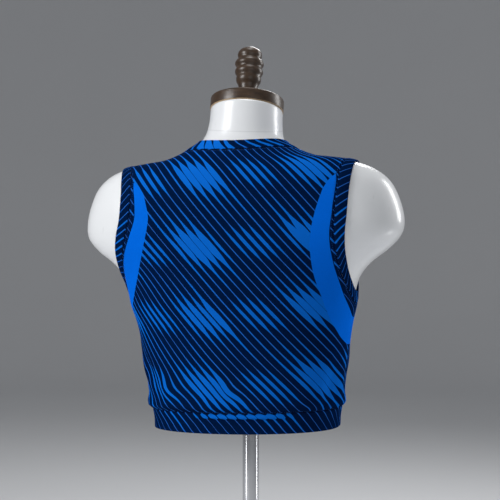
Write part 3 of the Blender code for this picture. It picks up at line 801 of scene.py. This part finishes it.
def shell_finish():
    """Moulded glass-reinforced plastic under white gloss lacquer: almost even, faintly wavy and scuffed."""
    shell = bpy.context.scene.crop_top_colours.shell
    made, add, finish = new_material("white_lacquered_shell")
    where = add("TexCoord", {}, out="Object")
    cloud = add("TexNoise", {"Vector": where, "Scale": 9.0, "Detail": 2.0})
    white = add("Mix", {0: cloud, 6: shade(shell, 0.97), 7: shade(shell)}, **COLOUR_MIX)
    # Faint scuffs: the rare peaks of a stretched noise
    stretched = {"Vector": where, "Rotation": (0.4, 0.7, 0.2), "Scale": (160, 14, 50)}
    scratch = add("TexNoise", {"Vector": add("Mapping", stretched), "Scale": 1.0, "Detail": 2.0})
    scuff = add("MapRange", {0: scratch, 1: 0.70, 2: 0.78, 3: 0.0, 4: 0.18})
    worn = add("Mix", {0: scuff, 6: white, 7: shade(linear("#c3c4c4"))}, **COLOUR_MIX)
    # The mould's parting line runs round the neck on a slight tilt. It is drawn as a thin grey line: painted
    # shade in place of its slight groove.
    tilted = {"Vector": where, "Location": (0, 0, -PARTING_HEIGHT), "Rotation": (0.12, 0.05, 0)}
    rise = add("SeparateXYZ", {0: add("Mapping", tilted)}, out=2)
    off = add("Math", {0: rise}, operation="ABSOLUTE")
    line = add("MapRange", {0: off, 1: 0.0003, 2: 0.0010, 3: 0.20, 4: 0.0})
    # Painted shade: the parting line's groove is only a darker grey line in the colour
    with_parting_shade = add("Mix", {0: line, 6: worn, 7: shade(linear("#9a9c9f"))}, **COLOUR_MIX)
    finish({
        "Base Color": with_parting_shade,
        "Roughness": add("MapRange", {0: cloud, 1: 0.2, 2: 0.8, 3: 0.27, 4: 0.36}),
        "Normal": add("Bump", {"Height": cloud, "Distance": 0.002, "Strength": 0.10}),
        "Coat Weight": 0.5,
        "Coat Roughness": 0.18,
    })
    return made


def wood_finish(name, colour, light, dark, roughness):
    """Turned beech: long fine grain between a light and a dark share of the colour, and darker pores."""
    made, add, finish = new_material(name)
    along = {"Vector": add("TexCoord", {}, out="Object"), "Rotation": (0, 0, 0.35)}
    board = add("Mapping", {**along, "Scale": (24, 190, 300)})
    grain = add("TexNoise", {"Vector": board, "Scale": 1.0, "Detail": 6.0, "Roughness": 0.62})
    pores = add("Mapping", {**along, "Scale": (160, 1100, 1500)})
    fine = add("TexNoise", {"Vector": pores, "Scale": 1.0, "Detail": 2.0})
    streak = add("MapRange", {0: grain, 1: 0.32, 2: 0.68, 3: 0.0, 4: 1.0})
    body = add("Mix", {0: streak, 6: shade(colour, dark), 7: shade(colour, light)}, **COLOUR_MIX)
    pore = add("MapRange", {0: fine, 1: 0.62, 2: 0.74, 3: 0.0, 4: 0.6})
    rough = {0: grain, 1: 0.3, 2: 0.7, 3: roughness - 0.05, 4: roughness + 0.08}
    finish({
        "Base Color": add("Mix", {0: pore, 6: body, 7: shade(colour, dark * 0.35)}, **COLOUR_MIX),
        "Normal": add("Bump", {"Height": fine, "Distance": 0.0002, "Strength": 0.25}),
        "Roughness": add("MapRange", rough),
        "Coat Weight": 0.18,
        "Coat Roughness": 0.20,
    })
    return made


def chrome_finish():
    """Chromed steel: a mirror with the polishing wheel's faint marks round the tube."""
    steel = bpy.context.scene.crop_top_colours.steel
    made, add, finish = new_material("chromed_steel")
    rings = add("Mapping", {"Vector": add("TexCoord", {}, out="Object"), "Scale": (20, 20, 900)})
    marks = add("TexNoise", {"Vector": rings, "Scale": 1.0, "Detail": 3.0})
    finish({
        "Base Color": add("Mix", {0: marks, 6: shade(steel, 0.94), 7: shade(steel)}, **COLOUR_MIX),
        "Roughness": add("MapRange", {0: marks, 1: 0.3, 2: 0.7, 3: 0.10, 4: 0.19}),
        "Metallic": 1.0,
    })
    return made


def floor_finish():
    """Matt studio board, slightly uneven."""
    floor = bpy.context.scene.crop_top_colours.floor
    made, add, finish = new_material("studio_board")
    where = add("TexCoord", {}, out="Object")
    cloud = add("TexNoise", {"Vector": where, "Scale": 1.4, "Detail": 3.0})
    tone = add("Mix", {0: cloud, 6: shade(floor, 0.95), 7: shade(floor)}, **COLOUR_MIX)
    finish({"Base Color": tone, "Roughness": 0.8})
    return made


# Pieces


def turned_mesh(profile, segments):
    """A shape turned about Z from (radius, height) points, closed where they end on the axis."""
    bm = bmesh.new()
    line = [bm.verts.new((radius, 0, height)) for radius, height in profile]
    edges = [bm.edges.new(pair) for pair in zip(line, line[1:])]
    turn = {"cent": (0, 0, 0), "axis": (0, 0, 1), "angle": 2 * math.pi, "steps": segments}
    bmesh.ops.spin(bm, geom=line + edges, use_merge=True, **turn)
    bmesh.ops.remove_doubles(bm, verts=bm.verts, dist=MERGE)
    bmesh.ops.recalc_face_normals(bm, faces=bm.faces)
    return bm


def rounded_profile(radius, low, high, edge, steps=5):
    points = [(0.0, low)]
    for corner_z, start in ((low + edge, -90), (high - edge, 0)):
        for step in range(steps + 1):
            turn = math.radians(start + 90 * step / steps)
            points.append((radius - edge + edge * math.cos(turn), corner_z + edge * math.sin(turn)))
    return points + [(0.0, high)]


def one_place(angle, level):
    return Vector(figure_points(np.array([angle]), np.array([level]), False)[0])


def neck_place():
    """The move from the turned pieces' own axis to the neck's tilted top."""
    back, front = one_place(0.0, NECK_TOP), one_place(180.0, NECK_TOP)
    tilt = math.atan2(back.z - front.z, back.y - front.y)
    return Matrix.Translation((back + front) / 2) @ Matrix.Rotation(tilt, 4, "X")


def torso():
    """The smooth torso in fine rings, closed at the foot and at the neck's top."""
    columns, rows = 144, 150
    foot_rounding = 0.94
    bm, across, up = grid_mesh(columns, rows)
    level = FORM_FOOT + (NECK_TOP - FORM_FOOT) * up
    points = figure_points(across * 180.0, level, False)
    foot = up <= 0
    centre = points[foot][:-1].mean(axis=0)
    points[foot] = centre + (points[foot] - centre) * foot_rounding
    move_points(bm, points)
    bmesh.ops.remove_doubles(bm, verts=bm.verts, dist=MERGE)
    rims = [edge for edge in bm.edges if edge.is_boundary]
    bmesh.ops.holes_fill(bm, edges=rims, sides=columns + 1)
    bmesh.ops.recalc_face_normals(bm, faces=bm.faces)
    keep_piece("torso_shell", bm, [shell_finish()], "white_moulded_shell", "dress_form")


# The knob's section: radius and height above its foot, in millimetres
KNOB_SECTION = (
    (0.0, 0.0), (17.0, 0.0), (18.6, 1.6), (18.2, 4.0), (15.0, 6.6), (13.4, 10.0), (13.2, 15.0), (13.6, 19.5),
    (14.8, 22.6), (16.6, 25.2), (17.4, 28.4), (17.5, 31.0), (17.0, 33.0), (17.1, 34.8), (18.6, 37.0),
    (19.6, 39.6), (19.4, 42.4), (17.9, 44.8), (17.3, 46.6), (18.6, 48.8), (20.0, 51.2), (20.1, 53.6),
    (18.5, 56.6), (16.0, 58.8), (15.3, 60.2), (16.5, 62.6), (17.1, 65.4), (16.3, 69.0), (14.1, 72.2),
    (10.6, 74.6), (5.8, 75.8), (0.0, 76.0),
)


def neck_wood():
    """The cap, stained but for its lower edge, and the turned knob on it."""
    colours = bpy.context.scene.crop_top_colours
    stained = wood_finish("stained_turned_beech", colours.wood, 1.35, 0.55, 0.36)
    bare = wood_finish("bare_beech", colours.bare_wood, 1.0, 0.6, 0.55)
    place = neck_place()
    cap_top = CAP_REST + CAP_THICKNESS
    cap = turned_mesh(rounded_profile(CAP_RADIUS, CAP_REST, cap_top, CAP_EDGE), 96)
    for face in cap.faces:
        face.material_index = 1 if face.calc_center_median().z < CAP_REST + BARE_EDGE else 0
    cap.transform(place)
    keep_piece("cap_wood", cap, [stained, bare], "dark_stained_wood", "neck_cap")
    foot = cap_top + SEAT_GAP
    knob = turned_mesh([(radius * MM, foot + height * MM) for radius, height in KNOB_SECTION], 64)
    knob.transform(place)
    keep_piece("knob_wood", knob, [stained], "dark_stained_wood", "finial")


def stand():
    """The chromed pole and the round base."""
    chrome = chrome_finish()
    pole_top = one_place(0.0, FORM_FOOT).z + POLE_IN_FORM
    pole = turned_mesh(rounded_profile(POLE_RADIUS, BASE_THICKNESS + SEAT_GAP, pole_top, POLE_EDGE), 72)
    keep_piece("pole_chrome", pole, [chrome], "chromed_steel", "stand_pole")
    base = turned_mesh(rounded_profile(BASE_RADIUS, 0.0, BASE_THICKNESS, BASE_EDGE), 144)
    keep_piece("base_chrome", base, [chrome], "chromed_steel", "stand_base")


def crowded(share):
    """Moves evenly spaced shares from -1 to 1 closer together near their ends."""
    return share + EDGE_CROWDING * np.sin(math.pi * share) / math.pi


def outline_places(facing):
    """Places right round a panel's edge."""
    turn = np.linspace(-1, 1, OUTLINE_ACROSS)
    tall = np.linspace(0, 1, OUTLINE_UP)
    across = np.concatenate([turn, np.ones(OUTLINE_UP), turn[::-1], -np.ones(OUTLINE_UP)])
    up = np.concatenate([np.zeros(OUTLINE_ACROSS), tall, np.ones(OUTLINE_ACROSS), tall[::-1]])
    return panel_places(facing, across, up)


def printed_flashes(facing, angle, level, points):
    """How far inside a flash each point lies, in metres, and whether it is on the armhole's side of one."""
    flash = np.full(len(angle), -1.0)
    strip = np.zeros(len(angle))
    for side, mark in FLASHES.items():
        to_tip = np.arange(FLASH_GUIDE + 1) / FLASH_GUIDE / mark.tip
        more = BAND_SEAM_BOW + mark.bow * np.interp(to_tip, BOW_SHARES, BOW_PARTS)
        armhole = bowed(ARMHOLES[facing + "_" + side], more)
        guide_angle, guide_level = armhole_side(mark.foot, SHOULDER_SEAM, armhole, eased_shares(FLASH_GUIDE))
        off_middle = (180 - angle if facing == "front" else angle) * (1 if side == "left" else -1)
        beyond = off_middle > np.interp(level, guide_level, guide_angle)
        strip = np.maximum(strip, beyond & (level > guide_level[0]))
        if side == "right":
            guide_angle = -guide_angle
        if facing == "front":
            guide_angle = 180 - guide_angle
        off, share = nearest(points, cloth_points(guide_angle, guide_level, WALL))
        flash = np.maximum(flash, mark.width * np.interp(share / mark.tip, HALF_SHARES, FLASH_HALVES) - off)
    return {"flash": flash, "strip": strip}


def panel(facing, finish):
    """The back or the front: a fine grid on its solid's form, sunk at its edges, with its print's map."""
    bm, across, up = grid_mesh(PANEL_COLUMNS, PANEL_ROWS)
    angle, level = panel_places(facing, crowded(across), (crowded(2 * up - 1) + 1) / 2)
    points = cloth_points(angle, level, WALL)
    from_edge, _ = nearest(points, cloth_points(*outline_places(facing), WALL))
    dip = SEAM_DIP * bell(from_edge, SEAM_DIP_REACH)
    move_points(bm, cloth_points(angle, level, WALL - dip))
    face_out(bm, figure_normals(angle, level, True))
    piece = keep_piece("jersey_" + facing, bm, [finish], "printed_jersey", facing + "_panel")
    for name, values in printed_flashes(facing, angle, level, points).items():
        layer = piece.data.attributes.new(name, "FLOAT", "POINT").data
        layer.foreach_set("value", values.astype(np.float32))
    flat_map(piece, level, drag_shift(angle, level))
    add_wall(piece, SHELL)
    return piece


def folded_band(name, node, ring, width, finish, tucked=False):
    """A strip folded double along its free edge: the outer leaf from the seam to the edge, then the inner."""
    outer_rows = TUCKED_ROWS if tucked else OUTER_ROWS
    folded = outer_rows + FOLD_STEPS
    rows = folded + INNER_ROWS
    bm, across, up = grid_mesh(RING_COLUMNS, rows)
    row = np.rint(up * rows).astype(int)
    column = np.rint((across + 1) / 2 * RING_COLUMNS).astype(int)
    high, low = BAND_WALL, SHELL + 0.0001
    radius = (high - low) / 2
    roll = radius / width
    points = np.zeros((len(across), 3))
    normals = np.zeros((len(across), 3))
    tuck = np.zeros(len(across))
    for j in range(rows + 1):
        if j <= outer_rows:
            share = (1 - roll) * j / outer_rows
            from_seam = share * width
            lift = high - BAND_DIP * bell(from_seam, BAND_DIP_REACH)
            lift -= RIM_ROLL * (j / outer_rows) ** 6
        elif j < folded:
            turn = math.pi * (j - outer_rows) / FOLD_STEPS
            share = 1 - roll + roll * math.sin(turn)
            lift = low + radius + (radius - RIM_ROLL) * math.cos(turn)
        else:
            share, lift = (1 - roll) * (rows - j) / INNER_ROWS, low
        angle, level = ring(share)
        rise = np.zeros(len(angle))
        if tucked and j <= outer_rows:
            off_crest = (from_seam - TUCK_DROP) / TUCK_HALF
            rise = np.exp(-(((angle - TUCK_ANGLE) / TUCK_REACH) ** 6) - off_crest**6)
        line = cloth_points(angle, level, lift + TUCK_RISE * rise)
        out = figure_normals(angle, level, True) * (1 if j < outer_rows + FOLD_STEPS / 2 else -1)
        picked = row == j
        points[picked] = line[column[picked]]
        tuck[picked] = rise[column[picked]]
        normals[picked] = out[column[picked]]
    run = lengths_along(cloth_points(*ring(0.5), high))
    widths = [0, width, width + math.pi * radius, 2 * width]
    over = np.interp(row, [0, outer_rows, folded, rows], widths)
    move_points(bm, points)
    layer = bm.loops.layers.uv.new("UVMap")
    for face in bm.faces:
        for loop in face.loops:
            k = loop.vert.index
            loop[layer].uv = (run[column[k]], over[k])
    if tucked:
        wider = bm.verts.layers.float.new("tuck")
        for vert, value in zip(bm.verts, tuck):
            vert[wider] = value
    face_out(bm, normals)
    bmesh.ops.remove_doubles(bm, verts=bm.verts, dist=MERGE)
    piece = keep_piece(name, bm, [finish], "jersey_bands", node)
    add_wall(piece, SHELL * 0.9)
    return piece


def along_line(at, run, values):
    return np.stack([np.interp(at, run, values[:, k]) for k in range(3)], axis=1)


def sew(bm, angle, level, inset):
    """Lays stitches end to end along a seam, moved off it over the panels' cloth by the inset, in levels."""
    sizes = bpy.context.scene.crop_top_sizes
    line = cloth_points(angle, level + inset, WALL)
    out = figure_normals(angle, level, True)
    run = lengths_along(line)
    count = int(run[-1] / sizes.stitch)
    at = (np.arange(count) + 0.5) * run[-1] / count
    middle = along_line(at, run, line)
    ahead = along_line(at + sizes.stitch / 4, run, line) - middle
    half = (sizes.stitch * STITCH_SHOWS / 2, sizes.thread / 2, sizes.thread * 0.42, 1)
    for point, along, up in zip(middle, ahead, along_line(at, run, out)):
        x = Vector(along).normalized()
        z = (Vector(up) - x * Vector(up).dot(x)).normalized()
        turn = Matrix((x, z.cross(x), z)).transposed().to_4x4()
        place = Matrix.Translation(Vector(point)) @ turn @ Matrix.Diagonal(half)
        bmesh.ops.create_uvsphere(bm, u_segments=6, v_segments=4, radius=1.0, matrix=place)


def stitching():
    """Topstitching beside the hem, armhole and neck seams, on the panels' side."""
    finish = thread_finish()
    rows = {
        "hem": (hem_ring(0.0), 0.30),
        "neck": (neck_ring(0.0), -0.22),
        "armhole_left": (armhole_ring("left", -0.22), 0.0),
        "armhole_right": (armhole_ring("right", -0.22), 0.0),
    }
    for name, (places, inset) in rows.items():
        bm = bmesh.new()
        sew(bm, *places, inset)
        keep_piece("stitches_" + name, bm, [finish], "printed_jersey")


def area_light(lamp, place):
    light = bpy.data.lights.new(lamp.name, "AREA")
    light.shape = "RECTANGLE"
    light.size = lamp.width
    light.size_y = lamp.height
    light.energy = lamp.watts
    placed = place_object(lamp.name, light)
    placed.location = place
    placed.rotation_euler = (Vector(lamp.aim) - place).to_track_quat("-Z", "Y").to_euler()


def stage():
    """The pale floor, the studio's lights and the camera."""
    profile = [(0, 0), (FLOOR_FLAT, 0)]
    for step in range(1, SWEEP_STEPS + 1):
        turn = math.pi / 2 * step / SWEEP_STEPS
        profile.append((FLOOR_FLAT + SWEEP * math.sin(turn), SWEEP * (1 - math.cos(turn))))
    bm = turned_mesh(profile + [(FLOOR_FLAT + SWEEP, STUDIO_HEIGHT)], 96)
    smooth_object("studio_floor", bm, [floor_finish()])

    turn = math.radians(CAMERA_AZIMUTH)
    back = Vector((math.sin(turn), -math.cos(turn), 0))
    left = Vector((-math.cos(turn), -math.sin(turn), 0))
    up = Vector((0, 0, 1))
    for lamp in LAMPS:
        area_light(lamp, left * lamp.left + back * lamp.back + up * lamp.up)

    world = bpy.data.worlds.new("studio")
    world.use_nodes = True
    bpy.context.scene.world = world
    feed(world.node_tree, world.node_tree.nodes["Background"], {0: shade(linear("#c9cbce")), 1: 0.46})

    lens = bpy.data.cameras.new("camera")
    lens.sensor_width = 36.0
    lens.lens = 88.85
    lens.shift_x = -0.0016
    lens.shift_y = 0.008
    lens.clip_end = 100.0
    camera = place_object("camera", lens)
    camera.location = back * CAMERA_DISTANCE + up * CAMERA_HEIGHT
    camera.rotation_euler = (math.pi / 2, 0, turn)
    bpy.context.scene.camera = camera
    bpy.context.scene.view_settings.view_transform = "Standard"


class CROPTOP_OT_stage(bpy.types.Operator):
    """Add the floor, the lights and the camera"""

    bl_idname = "croptop.stage"
    bl_label = "Stage"

    def execute(self, context):
        stage()
        return {"FINISHED"}


class CROPTOP_OT_torso(bpy.types.Operator):
    """Add the white half torso"""

    bl_idname = "croptop.torso"
    bl_label = "Torso"

    def execute(self, context):
        torso()
        return {"FINISHED"}


class CROPTOP_OT_wood(bpy.types.Operator):
    """Add the neck's wooden cap and knob"""

    bl_idname = "croptop.wood"
    bl_label = "Cap and knob"

    def execute(self, context):
        neck_wood()
        return {"FINISHED"}


class CROPTOP_OT_stand(bpy.types.Operator):
    """Add the pole and the base"""

    bl_idname = "croptop.stand"
    bl_label = "Stand"

    def execute(self, context):
        stand()
        return {"FINISHED"}


class CROPTOP_OT_panels(bpy.types.Operator):
    """Add the back and the front of the top"""

    bl_idname = "croptop.panels"
    bl_label = "Back and front"

    def execute(self, context):
        sizes = context.scene.crop_top_sizes
        cloth = jersey("printed_polyester_jersey", -sizes.slant, sizes.pitch, flash=True)
        back = panel("back", cloth)
        front = panel("front", cloth)
        return {"FINISHED"}


class CROPTOP_OT_bands(bpy.types.Operator):
    """Add the armhole bands, the neckband and the hem band"""

    bl_idname = "croptop.bands"
    bl_label = "Bands"

    def execute(self, context):
        sizes = context.scene.crop_top_sizes
        for side, turn in (("left", sizes.band_slant), ("right", -sizes.band_slant)):
            slant = math.pi / 2 + turn
            cloth = jersey("jersey_armhole_" + side, slant, sizes.band_pitch, thin=0.045, zone_gain=0.06)
            name, node, ring = "armhole_binding_" + side, "armhole_band_" + side, partial(armhole_ring, side)
            band = folded_band(name, node, ring, BAND_WIDTH, cloth)
        cloth = jersey("jersey_neckband", sizes.neck_slant, sizes.pitch, shift=0.45)
        band = folded_band("neck_binding", "neckband", neck_ring, BAND_WIDTH, cloth)
        look = {"shift": 0.35, "tuck": True, "thin": 0.040, "zone_gain": 0.08}
        cloth = jersey("jersey_hem_band", -sizes.slant * 0.9, sizes.pitch, **look)
        band = folded_band("hem_binding", "hem_band", hem_ring, HEM_WIDTH, cloth, tucked=True)
        return {"FINISHED"}


class CROPTOP_OT_stitching(bpy.types.Operator):
    """Add the rows of stitches"""

    bl_idname = "croptop.stitching"
    bl_label = "Stitching"

    def execute(self, context):
        stitching()
        return {"FINISHED"}


class CROPTOP_PT_sidebar(bpy.types.Panel):
    """Lists the pieces, the sizes and the colours"""

    bl_idname = "CROPTOP_PT_sidebar"
    bl_label = "Crop top"
    bl_space_type = "VIEW_3D"
    bl_region_type = "UI"
    bl_category = "Crop top"

    def draw(self, context):
        for group in (context.scene.crop_top_sizes, context.scene.crop_top_colours):
            for name in group.__annotations__:
                self.layout.prop(group, name)
        for operator in OPERATORS:
            self.layout.operator(operator.bl_idname)


OPERATORS = (
    CROPTOP_OT_stage,
    CROPTOP_OT_torso,
    CROPTOP_OT_wood,
    CROPTOP_OT_stand,
    CROPTOP_OT_panels,
    CROPTOP_OT_bands,
    CROPTOP_OT_stitching,
)
CLASSES = (CropTopSizes, CropTopColours, *OPERATORS, CROPTOP_PT_sidebar)


def register():
    for made in CLASSES:
        bpy.utils.register_class(made)
    bpy.types.Scene.crop_top_sizes = PointerProperty(type=CropTopSizes)
    bpy.types.Scene.crop_top_colours = PointerProperty(type=CropTopColours)


def unregister():
    del bpy.types.Scene.crop_top_colours
    del bpy.types.Scene.crop_top_sizes
    for made in reversed(CLASSES):
        bpy.utils.unregister_class(made)


def main():
    register()
    bpy.ops.croptop.stage()
    bpy.ops.croptop.torso()
    bpy.ops.croptop.wood()
    bpy.ops.croptop.stand()
    bpy.ops.croptop.panels()
    bpy.ops.croptop.bands()
    bpy.ops.croptop.stitching()


if __name__ == "__main__":
    main()
